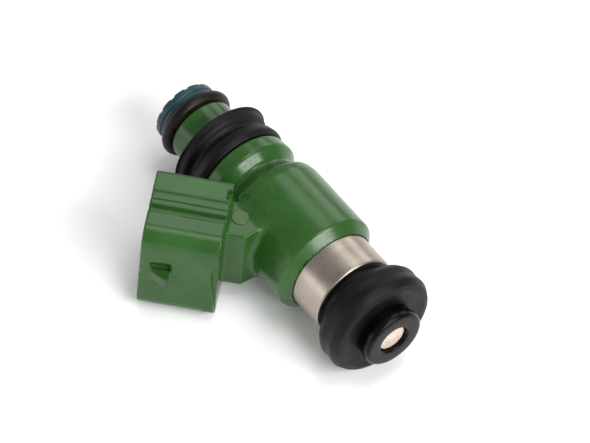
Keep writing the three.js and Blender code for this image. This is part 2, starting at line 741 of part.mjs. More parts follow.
// ---- Nozzle plate, tip cap and lower seal ------------------------------------------------
function orificePlate() {
  const disc = new THREE.Shape().absarc(0, 0, PLATE_RADIUS, 0, 2 * Math.PI, false);
  for (let i = 0; i < SPRAY_HOLES; i++) {
    const angle = ((i + 0.5) * 2 * Math.PI) / SPRAY_HOLES;
    const x = SPRAY_CIRCLE_RADIUS * Math.cos(angle);
    const y = SPRAY_CIRCLE_RADIUS * Math.sin(angle);
    disc.holes.push(new THREE.Path().absarc(x, y, SPRAY_HOLE_RADIUS, 0, 2 * Math.PI, true));
  }
  return prism(disc, -PLATE_THICKNESS, 0, 6).rotateX(Math.PI / 2);
}

add("orifice_plate", orificePlate(), PLATE_METAL);

add(
  "tip_cap",
  ring([
    [TIP_APERTURE_RADIUS, TIP_FACE_Y],
    [TIP_RADIUS - TIP_BEVEL, TIP_FACE_Y],
    [TIP_RADIUS - TIP_BEVEL * 0.3, TIP_FACE_Y + TIP_BEVEL * 0.3],
    [TIP_RADIUS, TIP_FACE_Y + TIP_BEVEL],
    [TIP_RADIUS, TIP_REAR_Y - TIP_BEVEL * 0.5],
    [TIP_RADIUS - TIP_BEVEL * 0.3, TIP_REAR_Y],
    [TIP_HUB_RADIUS, TIP_REAR_Y],
    [TIP_HUB_RADIUS, TIP_HUB_REAR_Y],
    [NOZZLE_RADIUS + FIT_GAP, TIP_HUB_REAR_Y],
    [NOZZLE_RADIUS + FIT_GAP, TIP_FACE_Y + TIP_LIP],
    [TIP_APERTURE_RADIUS, TIP_FACE_Y + TIP_LIP],
  ]),
  GLOSS_BLACK,
);

add(
  "lower_seal",
  ring([
    [NOZZLE_RADIUS + FIT_GAP, TIP_HUB_REAR_Y + SEAT_GAP],
    [TIP_HUB_RADIUS + FIT_GAP, TIP_HUB_REAR_Y + SEAT_GAP],
    [SEAL_FACE_INNER_RADIUS, SEAL_FRONT_Y],
    [SEAL_FACE_OUTER_RADIUS, SEAL_FRONT_Y],
    [8.25, 2.15],
    [8.7, 2.6],
    [8.95, 3.2],
    [8.9, 3.9],
    [8.72, 4.7],
    [8.85, 5.7],
    [8.75, 6.3],
    [8.2, 6.9],
    [7.2, 7.25],
    [SEAL_NECK_RADIUS, 7.4],
    [SEAL_NECK_RADIUS, SHELL_BOTTOM_Y - SEAT_GAP],
    [NOZZLE_RADIUS + FIT_GAP, SHELL_BOTTOM_Y - SEAT_GAP],
  ]),
  BLACK_RUBBER,
);

export default root;
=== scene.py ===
import math

import bpy
import numpy as np
from mathutils import Matrix, Vector


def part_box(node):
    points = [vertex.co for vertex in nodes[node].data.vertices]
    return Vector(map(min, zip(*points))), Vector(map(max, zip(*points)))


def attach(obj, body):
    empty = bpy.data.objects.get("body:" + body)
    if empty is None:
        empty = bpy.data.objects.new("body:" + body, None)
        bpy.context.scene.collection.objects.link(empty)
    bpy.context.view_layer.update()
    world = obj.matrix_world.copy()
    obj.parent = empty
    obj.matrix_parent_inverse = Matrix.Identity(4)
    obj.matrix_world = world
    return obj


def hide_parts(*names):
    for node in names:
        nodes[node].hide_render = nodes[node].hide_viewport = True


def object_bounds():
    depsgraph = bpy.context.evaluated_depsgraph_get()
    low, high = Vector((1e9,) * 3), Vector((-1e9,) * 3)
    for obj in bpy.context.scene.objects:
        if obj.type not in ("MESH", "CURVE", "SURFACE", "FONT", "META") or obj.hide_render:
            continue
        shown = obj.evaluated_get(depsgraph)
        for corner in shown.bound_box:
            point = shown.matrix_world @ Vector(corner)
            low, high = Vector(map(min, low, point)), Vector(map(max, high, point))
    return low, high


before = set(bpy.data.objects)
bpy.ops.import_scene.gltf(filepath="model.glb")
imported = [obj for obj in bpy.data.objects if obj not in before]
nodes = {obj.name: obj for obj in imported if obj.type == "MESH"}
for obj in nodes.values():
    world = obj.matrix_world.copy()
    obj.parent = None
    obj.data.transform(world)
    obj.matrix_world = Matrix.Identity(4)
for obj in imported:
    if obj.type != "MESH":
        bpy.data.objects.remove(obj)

MM = 0.001
cad_low, cad_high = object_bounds()


def span(node):
    """A turned node's lowest and highest Y and its largest radius about the axis."""
    low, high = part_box(node)
    return low[1] / MM, high[1] / MM, max(high[2], -low[2]) / MM


# ---- Camera ------------------------------------------------------------------------------------
CAMERA_AZIMUTH = math.radians(-41.8)
CAMERA_ELEVATION = math.radians(50.8)
CAMERA_ROLL = math.radians(6.65)
CAMERA_DISTANCE = 1.0  # metres
CAMERA_LENS = 410.0
CAMERA_AIM = Vector((-0.003, 0.022, 0.0))  # a point of the object
AIM_RIGHT, AIM_UP = 0.00122, 0.00406  # from that point to the middle of the picture, in metres


def make_camera():
    az, el = CAMERA_AZIMUTH, CAMERA_ELEVATION
    back = Vector((math.sin(az) * math.cos(el), -math.cos(az) * math.cos(el), math.sin(el)))
    level_right = Vector((math.cos(az), math.sin(az), 0.0))
    level_up = back.cross(level_right)
    right = level_right * math.cos(CAMERA_ROLL) + level_up * math.sin(CAMERA_ROLL)
    up = back.cross(right)
    data = bpy.data.cameras.new("camera")
    data.lens = CAMERA_LENS
    data.clip_start, data.clip_end = 0.01, 10.0
    camera = bpy.data.objects.new("camera", data)
    place = CAMERA_AIM + right * AIM_RIGHT + up * AIM_UP + back * CAMERA_DISTANCE
    camera.matrix_world = Matrix.Translation(place) @ Matrix((right, up, back)).transposed().to_4x4()
    bpy.context.scene.collection.objects.link(camera)
    bpy.context.scene.camera = camera


make_camera()

# ---- Meshes ------------------------------------------------------------------------------------
AROUND = 144  # facets round a turned piece


def add_piece(name, vertices, faces, surface, body, stands_for=()):
    """A smooth mesh object from millimetres, riding on a body and standing for CAD nodes."""
    mesh = bpy.data.meshes.new(name)
    mesh.from_pydata((np.asarray(vertices, float) * MM).tolist(), [], faces)
    mesh.materials.append(surface)
    mesh.shade_smooth()
    piece = bpy.data.objects.new(name, mesh)
    bpy.context.scene.collection.objects.link(piece)
    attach(piece, body)
    if stands_for:
        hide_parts(*stands_for)
    return piece


def rounded(corners, steps=6, closed=True):
    """An outline with each corner (a, b, radius) turned into an arc; a bare (a, b) stays sharp.
    The first and last corners of one that isn't closed stay sharp too."""
    points = []
    count = len(corners)
    for i, corner in enumerate(corners):
        here = np.array(corner[:2], float)
        radius = corner[2] if len(corner) > 2 else 0.0
        if radius <= 0 or (not closed and i in (0, count - 1)):
            points.append(tuple(here))
            continue
        before = np.array(corners[i - 1][:2], float) - here
        after = np.array(corners[(i + 1) % count][:2], float) - here
        room = min(np.linalg.norm(before), np.linalg.norm(after)) * 0.49
        before /= np.linalg.norm(before)
        after /= np.linalg.norm(after)
        half = math.acos(max(-1.0, min(1.0, float(before @ after)))) / 2
        if half > math.pi / 2 - 0.01:
            points.append(tuple(here))
            continue
        reach = min(radius / math.tan(half), room)
        radius = reach * math.tan(half)
        middle = before + after
        centre = here + middle / np.linalg.norm(middle) * (radius / math.sin(half))
        start, end = here + before * reach - centre, here + after * reach - centre
        sweep = math.atan2(start[0] * end[1] - start[1] * end[0], float(start @ end))
        for k in range(steps + 1):
            turn = sweep * k / steps
            cos, sin = math.cos(turn), math.sin(turn)
            points.append(
                (centre[0] + start[0] * cos - start[1] * sin, centre[1] + start[0] * sin + start[1] * cos)
            )
    return points


def lathe(outline, around=AROUND):
    """Vertices and faces of a ring turned about Y from a closed outline of (radius, y) points."""
    radius, height = np.array(outline, float).T
    angle = np.arange(around) * 2 * math.pi / around
    r, a = np.meshgrid(radius, angle)
    y = np.tile(height, (around, 1))
    vertices = np.stack([r * np.sin(a), y, r * np.cos(a)], -1).reshape(-1, 3)
    n = len(outline)
    i, j = np.meshgrid(np.arange(around), np.arange(n), indexing="ij")
    ni, nj = (i + 1) % around, (j + 1) % n
    faces = np.stack([i * n + j, i * n + nj, ni * n + nj, ni * n + j], -1).reshape(-1, 4)
    return vertices, faces[:, ::-1].tolist()


def keep_flats_flat(piece):
    """Weights normals by face area, so that the flats beside small rounded edges shade flat."""
    weighted = piece.modifiers.new("flats", "WEIGHTED_NORMAL")
    weighted.mode = "FACE_AREA"
    weighted.weight = 100


def turned(name, corners, surface, body, stands_for):
    """A piece turned about Y from a closed outline of (radius, y, corner radius) corners."""
    vertices, faces = lathe(rounded(corners))
    keep_flats_flat(add_piece(name, vertices, faces, surface, body, stands_for))


# ---- Materials ---------------------------------------------------------------------------------
class Nodes:
    """A short way to build a node tree."""

    def __init__(self, name):
        self.material = bpy.data.materials.new(name)
        self.material.use_nodes = True
        self.tree = self.material.node_tree
        self.shader = self.tree.nodes["Principled BSDF"]

    def node(self, kind, inputs=None, **settings):
        made = self.tree.nodes.new(kind)
        for key, value in settings.items():
            setattr(made, key, value)
        for key, value in (inputs or {}).items():
            self.put(made.inputs[key], value)
        return made

    def put(self, socket, value):
        if isinstance(value, bpy.types.NodeSocket):
            self.tree.links.new(value, socket)
        else:
            socket.default_value = value

    def set(self, **inputs):
        for key, value in inputs.items():
            self.put(self.shader.inputs[key.replace("_", " ")], value)

    def place(self, scale=(1, 1, 1)):
        """Object coordinates in millimetres, stretched by scale."""
        coordinates = self.node("ShaderNodeTexCoord").outputs["Object"]
        factor = [1000 * s for s in scale]
        mapping = self.node("ShaderNodeMapping", {"Vector": coordinates, "Scale": factor})
        return mapping.outputs["Vector"]

    def noise(self, vector, scale, detail, rough):
        inputs = {"Vector": vector, "Scale": scale, "Detail": detail, "Roughness": rough}
        return self.node("ShaderNodeTexNoise", inputs).outputs["Fac"]

    def span(self, value, low, high, to_low, to_high):
        inputs = {"Value": value, "From Min": low, "From Max": high}
        inputs.update({"To Min": to_low, "To Max": to_high})
        return self.node("ShaderNodeMapRange", inputs).outputs["Result"]

    def mix(self, factor, first, second):
        made = self.node("ShaderNodeMix", data_type="RGBA")
        for index, value in ((0, factor), (6, first), (7, second)):
            self.put(made.inputs[index], value)
        return made.outputs[2]

    def maths(self, operation, *values):
        made = self.node("ShaderNodeMath", operation=operation)
        for index, value in enumerate(values):
            self.put(made.inputs[index], value)
        return made.outputs[0]

    def bump(self, height, distance, strength, normal=None):
        inputs = {"Height": height, "Distance": distance, "Strength": strength}
        made = self.node("ShaderNodeBump", inputs)
        if normal:
            self.put(made.inputs["Normal"], normal)
        return made.outputs["Normal"]


# Bump heights, in metres.
SPECK_HEIGHT = 0.00001
FIBRE_HEIGHT = 0.00002
RUBBER_GRAIN_HEIGHT = 0.00003
TURNING_RING_HEIGHT = 0.000008


def rgb(r, g, b):
    """A linear colour from sRGB values of 0 to 255."""
    def linear(v):
        v /= 255
        return v / 12.92 if v <= 0.04045 else ((v + 0.055) / 1.055) ** 2.4
    return (linear(r), linear(g), linear(b), 1.0)


def moulded_plastic(name, base, light, dark, roughness):
    """Glass-filled nylon: cloudy colour, fine fibre streaks and a faintly uneven gloss."""
    n = Nodes(name)
    cloud = n.noise(n.place(), 0.16, 3.0, 0.6)
    fibre = n.noise(n.place((1.0, 0.35, 1.0)), 2.6, 4.0, 0.7)
    speck = n.noise(n.place(), 9.0, 2.0, 0.5)
    colour = n.mix(n.span(cloud, 0.35, 0.65, 0.0, 1.0), dark, base)
    colour = n.mix(n.span(fibre, 0.5, 0.8, 0.0, 0.2), colour, light)
    gloss = n.maths("ADD", n.span(fibre, 0.3, 0.7, -0.05, 0.07), n.span(cloud, 0.3, 0.7, -0.03, 0.03))
    n.set(Base_Color=colour, Roughness=n.maths("ADD", gloss, roughness))
    fine = n.bump(speck, SPECK_HEIGHT, 0.5)
    n.set(Normal=n.bump(fibre, FIBRE_HEIGHT, 0.25, fine), Specular_IOR_Level=0.35)
    return n.material


def rubber(name, base, dusty, roughness, dust=0.35, shine=0.2):
    """Moulded rubber or black plastic: a dark base with a fine grain and a thin film of dust."""
    n = Nodes(name)
    film = n.noise(n.place(), 0.45, 5.0, 0.65)
    grain = n.noise(n.place(), 7.0, 3.0, 0.6)
    colour = n.mix(n.span(film, 0.5, 0.75, 0.0, dust), base, dusty)
    n.set(Base_Color=colour)
    n.set(Roughness=n.maths("ADD", n.span(film, 0.35, 0.7, -0.06, 0.1), roughness))
    n.set(Normal=n.bump(grain, RUBBER_GRAIN_HEIGHT, 0.45), Specular_IOR_Level=shine)
    return n.material


def turned_metal(name, base, dark, roughness, ring_scale=9.0, metallic=1.0):
    """Turned or drawn metal: fine rings round the injector axis over a soft stain."""
    n = Nodes(name)
    rings = n.noise(n.place((0.04, 1.0, 0.04)), ring_scale, 4.0, 0.75)
    stain = n.noise(n.place(), 0.35, 4.0, 0.6)
    colour = n.mix(n.span(stain, 0.4, 0.7, 0.0, 0.55), base, dark)
    colour = n.mix(n.span(rings, 0.35, 0.65, 0.0, 0.3), colour, dark)
    n.set(Base_Color=colour, Metallic=metallic)
    n.set(Roughness=n.maths("ADD", n.span(rings, 0.3, 0.7, -0.05, 0.08), roughness))
    n.set(Normal=n.bump(rings, TURNING_RING_HEIGHT, 0.6))
    return n.material


GREEN = moulded_plastic(
    "green_nylon", rgb(44, 86, 33), rgb(70, 108, 54), rgb(36, 75, 27), 0.22
)
# A lighter green for the raised neck pad: a painted highlight, standing for the light that falls on the
# neck's upward-facing side.
PAINTED_LIGHT_GREEN = moulded_plastic(
    "painted_light_green_nylon", rgb(76, 102, 54), rgb(120, 130, 84), rgb(56, 88, 42), 0.34
)
TEAL = moulded_plastic("teal_nylon", rgb(28, 66, 76), rgb(50, 88, 98), rgb(20, 52, 60), 0.35)
BLACK_RUBBER = rubber("black_rubber", rgb(9, 8, 8), rgb(30, 28, 27), 0.48)
O_RING_RUBBER = rubber("o_ring_rubber", rgb(20, 14, 13), rgb(44, 35, 32), 0.38)
GLOSS_BLACK = rubber("gloss_black", rgb(5, 5, 6), rgb(16, 16, 16), 0.18, 0.1, 0.15)
STEEL = turned_metal("stainless_steel", rgb(176, 166, 155), rgb(140, 129, 118), 0.32)
INNER_STEEL = turned_metal("machined_steel", rgb(190, 188, 184), rgb(150, 148, 145), 0.28)
PLATE = turned_metal("orifice_plate_metal", rgb(228, 212, 198), rgb(186, 168, 154), 0.45, 5.0, 0.3)
TINNED = turned_metal("tinned_brass", rgb(214, 202, 160), rgb(176, 160, 116), 0.28)
COPPER = turned_metal("enamelled_copper", rgb(190, 106, 60), rgb(140, 70, 38), 0.3)
BOBBIN = moulded_plastic("bobbin_nylon", rgb(120, 100, 78), rgb(150, 130, 105), rgb(104, 84, 64), 0.5)
FILTER = moulded_plastic("filter_nylon", rgb(226, 222, 208), rgb(240, 238, 228), rgb(205, 200, 184), 0.6)

# ---- Moulded housing, from a distance function -------------------------------------------------
BODY_OUTLINE = [
    (0.0, 15.0),
    (7.06, 15.0, 0.05),
    (8.5, 16.7, 0.5),
    (8.5, 28.9, 4.0),
    (8.25, 30.4, 1.5),
    (6.35, 32.75, 1.0),
    (7.9, 34.8, 0.8),
    (7.65, 37.3, 0.45),
    (5.3, 37.3),
    (5.3, 48.0, 0.3),
    (0.0, 48.0),
]
BORE_OUTLINE = [
    (0.0, 13.0),
    (6.97, 13.0),
    (6.97, 15.6),
    (7.0, 15.8),
    (7.0, 22.34),
    (3.16, 22.34),
    (3.16, 45.96),
    (3.91, 45.96),
    (3.91, 50.0),
    (0.0, 50.0),
]

# The plug socket's own frame: u out through the broad front face, c out of the mouth, w is Z.
PLUG_ANGLE = math.radians(44)  # between the injector axis and the plug axis
PLUG_SIN, PLUG_COS = math.sin(PLUG_ANGLE), math.cos(PLUG_ANGLE)
MOUTH_X, MOUTH_Y = -19.3, 35.2
SHROUD_LENGTH = 11.8
SHROUD_HALF_THICKNESS = 6.65
SHROUD_HALF_WIDTH = 8.5
SHROUD_WALL = 1.4
FRONT_CORNER, REAR_CORNER = 2.8, 0.8
NECK_HALF_WIDTH = 5.7


def plug_frame(x, y):
    dx, dy = x - MOUTH_X, y - MOUTH_Y
    return -dx * PLUG_COS - dy * PLUG_SIN, dy * PLUG_COS - dx * PLUG_SIN


def plug_point(u, c):
    return MOUTH_X - u * PLUG_COS - c * PLUG_SIN, MOUTH_Y - u * PLUG_SIN + c * PLUG_COS


NECK_ROOT_X, NECK_ROOT_TOP_Y = -4.0, 27.3  # inside the body
NECK_CORNER = (-9.9, 23.6)
NECK_TOP_U = -5.2  # where the neck's inlet side meets the shroud
NECK_OVERLAP = 0.6  # into the shroud's rear wall
neck_end = NECK_OVERLAP - SHROUD_LENGTH
NECK_OUTLINE = [
    (NECK_ROOT_X, NECK_CORNER[1]),
    (NECK_ROOT_X, NECK_ROOT_TOP_Y),
    plug_point(NECK_TOP_U, neck_end),
    plug_point(plug_frame(*NECK_CORNER)[0], neck_end),
    NECK_CORNER,
]


def outline_distance(x, y, outline):
    """Signed distance in a plane to a closed outline, negative inside."""
    best = np.full(x.shape, 1e9, np.float32)
    inside = np.zeros(x.shape, bool)
    count = len(outline)
    for i in range(count):
        ax, ay = outline[i]
        bx, by = outline[(i + 1) % count]
        ex, ey = bx - ax, by - ay
        px, py = x - ax, y - ay
        t = np.clip((px * ex + py * ey) / max(ex * ex + ey * ey, 1e-12), 0, 1)
        best = np.minimum(best, (px - ex * t) ** 2 + (py - ey * t) ** 2)
        crosses = (ay > y) != (by > y)
        if ey:
            inside ^= crosses & (px < ex * py / ey)
    return np.where(inside, -np.sqrt(best), np.sqrt(best)).astype(np.float32)


class TurnedDistance:
    """Signed distance to a solid turned about Y, looked up in a table of its section."""

    STEP = 0.05
    MARGIN = 4  # above and below the section
    ARC_STEPS = 8

    def __init__(self, corners, reach=14.0, closed=False):
        outline = rounded(corners, self.ARC_STEPS, closed)
        if not closed:
            # a solid one is mirrored in the axis, so that the axis itself is not a wall
            outline = outline + [(-r, y) for r, y in reversed(outline) if r > 0]
        low = min(y for _, y in outline) - self.MARGIN
        high = max(y for _, y in outline) + self.MARGIN
        self.low = low
        r, y = np.meshgrid(np.arange(0, reach, self.STEP), np.arange(low, high, self.STEP))
        self.table = outline_distance(r, y, outline)

    def __call__(self, x, y, z):
        r = np.sqrt(x * x + z * z)
        rows, columns = self.table.shape
        a = np.clip((y - self.low) / self.STEP, 0, rows - 1.001)
        b = np.clip(r / self.STEP, 0, columns - 1.001)
        i, j = a.astype(np.int32), b.astype(np.int32)
        fa, fb = a - i, b - j
        t = self.table
        lower = t[i, j] * (1 - fb) + t[i, j + 1] * fb
        upper = t[i + 1, j] * (1 - fb) + t[i + 1, j + 1] * fb
        return (lower * (1 - fa) + upper * fa).astype(np.float32)


def round_both(a, b, edge):
    """The overlap of two solids, with a rounded edge."""
    a, b = a + edge, b + edge
    return np.minimum(np.maximum(a, b), 0) + np.hypot(np.maximum(a, 0), np.maximum(b, 0)) - edge


def join(a, b, fillet):
    """The union of two solids, with a fillet where they meet."""
    return -round_both(-a, -b, fillet)


def cut(a, b, edge):
    """Solid a less solid b, with a rounded edge."""
    return round_both(a, -b, edge)


def box2(a, b, half_a, half_b, corner):
    qa, qb = np.abs(a) - half_a + corner, np.abs(b) - half_b + corner
    return np.minimum(np.maximum(qa, qb), 0) + np.hypot(np.maximum(qa, 0), np.maximum(qb, 0)) - corner


def box3(a, b, c, half, edge):
    return round_both(box2(a, b, half[0], half[1], edge), np.abs(c) - half[2], edge)


body_distance = TurnedDistance(BODY_OUTLINE)
bore_distance = TurnedDistance(BORE_OUTLINE)
GROOVE_SLOPE = 0.4  # the width of a groove's sloping flank
GROOVES = [(-2.5, -0.95, 0.3), (0.3, 1.4, 0.7)]  # in the narrow sides: u from, u to, depth
SHROUD_REAR_EDGE, SHROUD_MOUTH_EDGE = 0.25, 0.3
# The notch in the rear edge of each narrow side.
NOTCH_FROM, NOTCH_TO, NOTCH_LENGTH, NOTCH_REACH, NOTCH_EDGE = -4.9, -3.0, 0.7, 1.2, 0.15
# The lowered strip along the front face's rear edge, which ends at a w.
STEP_DEPTH, STEP_LENGTH, STEP_TOP_W, STEP_EDGE = 0.16, 1.9, 0.0, 0.12
# A deeper cut right at that edge, whose length along the plug changes with w.
TRIM_DEPTH, TRIM_EDGE = 0.9, 0.2
TRIM_W, TRIM_LENGTHS = (-8.5, 2.3, 5.9), (0.0, 1.1, 0.0)
LATCH_START, LATCH_LENGTH, LATCH_HALF_WIDTH, LATCH_HEIGHT = 1.7, 2.9, 1.0, 1.5
LATCH_CREST = 0.4  # the flat at the top of the ramp
LATCH_ROOT = 1  # how far the ramp's outline goes into the wall
LATCH_EDGE = 0.15
# The pocket beside the latch, and the nick in the mouth's rim in line with it.
POCKET_HALF_WIDTH, POCKET_DEPTH, POCKET_CORNER, POCKET_EDGE = 0.85, 0.9, 0.3, 0.35
NICK_HALF_SIZE, NICK_EDGE = (0.45, 0.3, 0.7), 0.15
SOCKET_DEPTH, SOCKET_CORNER, SOCKET_FLOOR_EDGE, SOCKET_RIM_EDGE = 10.2, 1.2, 0.3, 0.2
BLADE_SPACING, BLADE_HALF_WIDTH, BLADE_HALF_THICKNESS = 4.0, 1.0, 0.32
SLOT_GAP, SLOT_HALF_DEPTH, SLOT_CORNER, SLOT_EDGE = 0.25, 1.0, 0.1, 0.12
BORE_EDGE = 0.05
NECK_EDGE, NECK_BODY_FILLET, NECK_SHROUD_FILLET, LATCH_FILLET = 0.4, 1.0, 0.5, 0.2


def shroud_distance(u, c, w):
    corner = np.where(u > 0, FRONT_CORNER, REAR_CORNER)
    section = box2(u, w, SHROUD_HALF_THICKNESS, SHROUD_HALF_WIDTH, corner)
    for low, high, depth in GROOVES:
        ramp = np.clip(((high - low) / 2 - np.abs(u - (low + high) / 2)) / GROOVE_SLOPE + 0.5, 0, 1)
        section = section + (depth * ramp * ramp * (3 - 2 * ramp)).astype(np.float32)
    shroud = round_both(section, -c - SHROUD_LENGTH, SHROUD_REAR_EDGE)
    shroud = round_both(shroud, c, SHROUD_MOUTH_EDGE)
    notch = box3(
        u - (NOTCH_FROM + NOTCH_TO) / 2,
        c + SHROUD_LENGTH,
        np.abs(w) - SHROUD_HALF_WIDTH,
        ((NOTCH_TO - NOTCH_FROM) / 2, NOTCH_LENGTH, NOTCH_REACH),
        NOTCH_EDGE,
    )
    shroud = cut(shroud, notch, NOTCH_EDGE)
    rear = c + SHROUD_LENGTH
    face = SHROUD_HALF_THICKNESS - u
    strip = np.maximum(np.maximum(face - STEP_DEPTH, rear - STEP_LENGTH), w - STEP_TOP_W)
    shroud = cut(shroud, strip, STEP_EDGE)
    trim = np.maximum(face - TRIM_DEPTH, rear - np.interp(w, TRIM_W, TRIM_LENGTHS))
    return cut(shroud, trim.astype(np.float32), TRIM_EDGE)


def latch_distance(u, c, w):
    """A ramp that rises away from the mouth."""
    rear = -LATCH_START - LATCH_LENGTH
    top = SHROUD_HALF_THICKNESS + LATCH_HEIGHT
    outline = [
        (SHROUD_HALF_THICKNESS - LATCH_ROOT, rear),
        (top, rear),
        (top, rear + LATCH_CREST),
        (SHROUD_HALF_THICKNESS, -LATCH_START),
        (SHROUD_HALF_THICKNESS - LATCH_ROOT, -LATCH_START),
    ]
    return round_both(outline_distance(u, c, outline), np.abs(w) - LATCH_HALF_WIDTH, LATCH_EDGE)


def housing_distance(x, y, z):
    u, c = plug_frame(x, y)
    body = body_distance(x, y, z)
    neck = round_both(
        outline_distance(x, y, NECK_OUTLINE), np.abs(z) - NECK_HALF_WIDTH, NECK_EDGE
    )
    made = join(body, neck, NECK_BODY_FILLET)
    made = join(made, shroud_distance(u, c, z), NECK_SHROUD_FILLET)
    made = join(made, latch_distance(u, c, z), LATCH_FILLET)
    pocket = box3(
        u - SHROUD_HALF_THICKNESS,
        c + LATCH_START + LATCH_LENGTH / 2,
        z - LATCH_HALF_WIDTH - POCKET_HALF_WIDTH,
        (POCKET_DEPTH, LATCH_LENGTH / 2, POCKET_HALF_WIDTH),
        POCKET_CORNER,
    )
    made = cut(made, pocket, POCKET_EDGE)
    nick = box3(u - SHROUD_HALF_THICKNESS, c, z, NICK_HALF_SIZE, NICK_EDGE)
    made = cut(made, nick, NICK_EDGE)
    inner_thickness = SHROUD_HALF_THICKNESS - SHROUD_WALL
    inner = box2(u, z, inner_thickness, SHROUD_HALF_WIDTH - SHROUD_WALL, SOCKET_CORNER)
    socket = round_both(inner, np.abs(c) - SOCKET_DEPTH, SOCKET_FLOOR_EDGE)
    made = cut(made, socket, SOCKET_RIM_EDGE)
    for side in (-1, 1):
        slot = box3(
            u,
            c + SOCKET_DEPTH,
            z - side * BLADE_SPACING / 2,
            (BLADE_HALF_THICKNESS + SLOT_GAP, SLOT_HALF_DEPTH, BLADE_HALF_WIDTH + SLOT_GAP),
            SLOT_CORNER,
        )
        made = cut(made, slot, SLOT_EDGE)
    return cut(made, bore_distance(x, y, z), BORE_EDGE)


def gradient(distance, points, reach=0.02):
    """The slope of a distance function at each point, from two samples along each axis."""
    columns = []
    for axis in range(3):
        shift = np.zeros(3)
        shift[axis] = reach
        ahead, behind = points + shift, points - shift
        columns.append((distance(*ahead.T) - distance(*behind.T)) / (2 * reach))
    return np.stack(columns, -1)


CUBE = np.array([(i, j, k) for i in (0, 1) for j in (0, 1) for k in (0, 1)])
CUBE_EDGES = [(a, b) for a in range(8) for b in range(a + 1, 8) if abs(CUBE[a] - CUBE[b]).sum() == 1]


GRID_MARGIN = 3  # cells outside the CAD node's box
SETTLING_ROUNDS = 3  # moves of each vertex onto the surface
LONGEST_MOVE = 0.4  # of a cell, in one round
LEAST_SLOPE = 0.2  # squared, so that a flat spot can't send a vertex far


def surface_of(distance, low, high, step):
    """Vertices and four-sided faces of a distance function's zero surface: one vertex in each
    cell of a grid that the surface crosses, and one face across each grid edge it crosses."""
    axes = [np.arange(a, b + step, step, dtype=np.float32) for a, b in zip(low, high)]
    value = distance(*np.meshgrid(*axes, indexing="ij"))
    inside = value < 0
    counts = sum(
        inside[i:value.shape[0] - 1 + i, j:value.shape[1] - 1 + j, k:value.shape[2] - 1 + k].astype(int)
        for i, j, k in CUBE
    )
    cells = np.argwhere((counts > 0) & (counts < 8))
    number = np.full(counts.shape, -1, np.int64)
    number[tuple(cells.T)] = np.arange(len(cells))
    corner = np.stack([value[tuple((cells + offset).T)] for offset in CUBE], -1)
    total, weight = np.zeros((len(cells), 3)), np.zeros((len(cells), 1))
    for a, b in CUBE_EDGES:
        crosses = (corner[:, a] < 0) != (corner[:, b] < 0)
        gap = np.where(crosses, corner[:, a] - corner[:, b], 1.0)
        part = (corner[:, a] / gap)[:, None]
        at = CUBE[a] + (CUBE[b] - CUBE[a]) * part
        total += np.where(crosses[:, None], at, 0)
        weight += crosses[:, None]
    origin = np.array([a[0] for a in axes], float)
    points = origin + (cells + total / weight) * step
    for _ in range(SETTLING_ROUNDS):
        slope = gradient(distance, points)
        size = np.maximum((slope ** 2).sum(-1, keepdims=True), LEAST_SLOPE)
        move = -distance(*points.T)[:, None] * slope / size
        points += np.clip(move, -step * LONGEST_MOVE, step * LONGEST_MOVE)
    faces = []
    for axis in range(3):
        first, second = [slice(1, -1)] * 3, [slice(1, -1)] * 3
        first[axis], second[axis] = slice(0, -1), slice(1, None)
        here, there = inside[tuple(first)], inside[tuple(second)]
        b, c = [(1, 2), (2, 0), (0, 1)][axis]
        for outward in (True, False):
            edge = np.argwhere((here & ~there) if outward else (there & ~here))
            edge[:, b] += 1
            edge[:, c] += 1
            ring = []
            for db, dc in ((-1, -1), (0, -1), (0, 0), (-1, 0)):
                cell = edge.copy()
                cell[:, b] += db
                cell[:, c] += dc
                ring.append(number[tuple(cell.T)])
            faces.append(np.stack(ring if outward else ring[::-1], -1))
    return points, np.concatenate(faces)


def moulded(name, distance, step, surface, body, stands_for):
    """A piece from a distance function, inside the box of the node that it stands for."""
    low, high = (np.array(v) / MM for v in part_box(stands_for))
    points, faces = surface_of(distance, low - GRID_MARGIN * step, high + GRID_MARGIN * step, step)
    piece = add_piece(name, points, faces.tolist(), surface, body, (stands_for,))
    slope = gradient(distance, points, step / 10)
    slope /= np.linalg.norm(slope, axis=1, keepdims=True)
    piece.data.normals_split_custom_set_from_vertices(slope.tolist())


HOUSING_STEP, CAP_STEP = 0.24, 0.11  # grid steps
moulded(
    "housing_moulding", housing_distance, HOUSING_STEP, GREEN, "injector", "housing"
)

PAD_X, PAD_Y, PAD_RADIUS, PAD_HEIGHT, PAD_EDGE = -8.35, 27.1, 1.35, 0.2, 0.14
PAD_INNER_RADIUS = 1.0  # the end faces are flat inside it
PAD_FOOT = -0.6  # below the neck's side
PAD_AROUND = 96


def plain_pad():
    """A plain raised round pad on the neck, turned about Z."""
    outline = rounded([
        (PAD_INNER_RADIUS, PAD_FOOT),
        (PAD_RADIUS, PAD_FOOT),
        (PAD_RADIUS, PAD_HEIGHT, PAD_EDGE),
        (PAD_INNER_RADIUS, PAD_HEIGHT),
    ])
    vertices, faces = lathe(outline, PAD_AROUND)
    across, up, along = vertices.T
    placed = np.stack([across + PAD_X, along + PAD_Y, up + NECK_HALF_WIDTH], -1)
    rows = len(outline)
    # the inner wall, from the last row back to the first, gives way to a flat face at each end
    faces = [face[::-1] for face in faces if face[0] % rows != rows - 1]
    bottom = [rows * k for k in range(PAD_AROUND)]
    top = [rows * k + rows - 1 for k in range(PAD_AROUND)]
    faces += [bottom, top[::-1]]
    # The pad's lighter green is a painted highlight, not the moulding's own colour.
    keep_flats_flat(
        add_piece("neck_pad", placed, faces, PAINTED_LIGHT_GREEN, "injector")
    )


plain_pad()

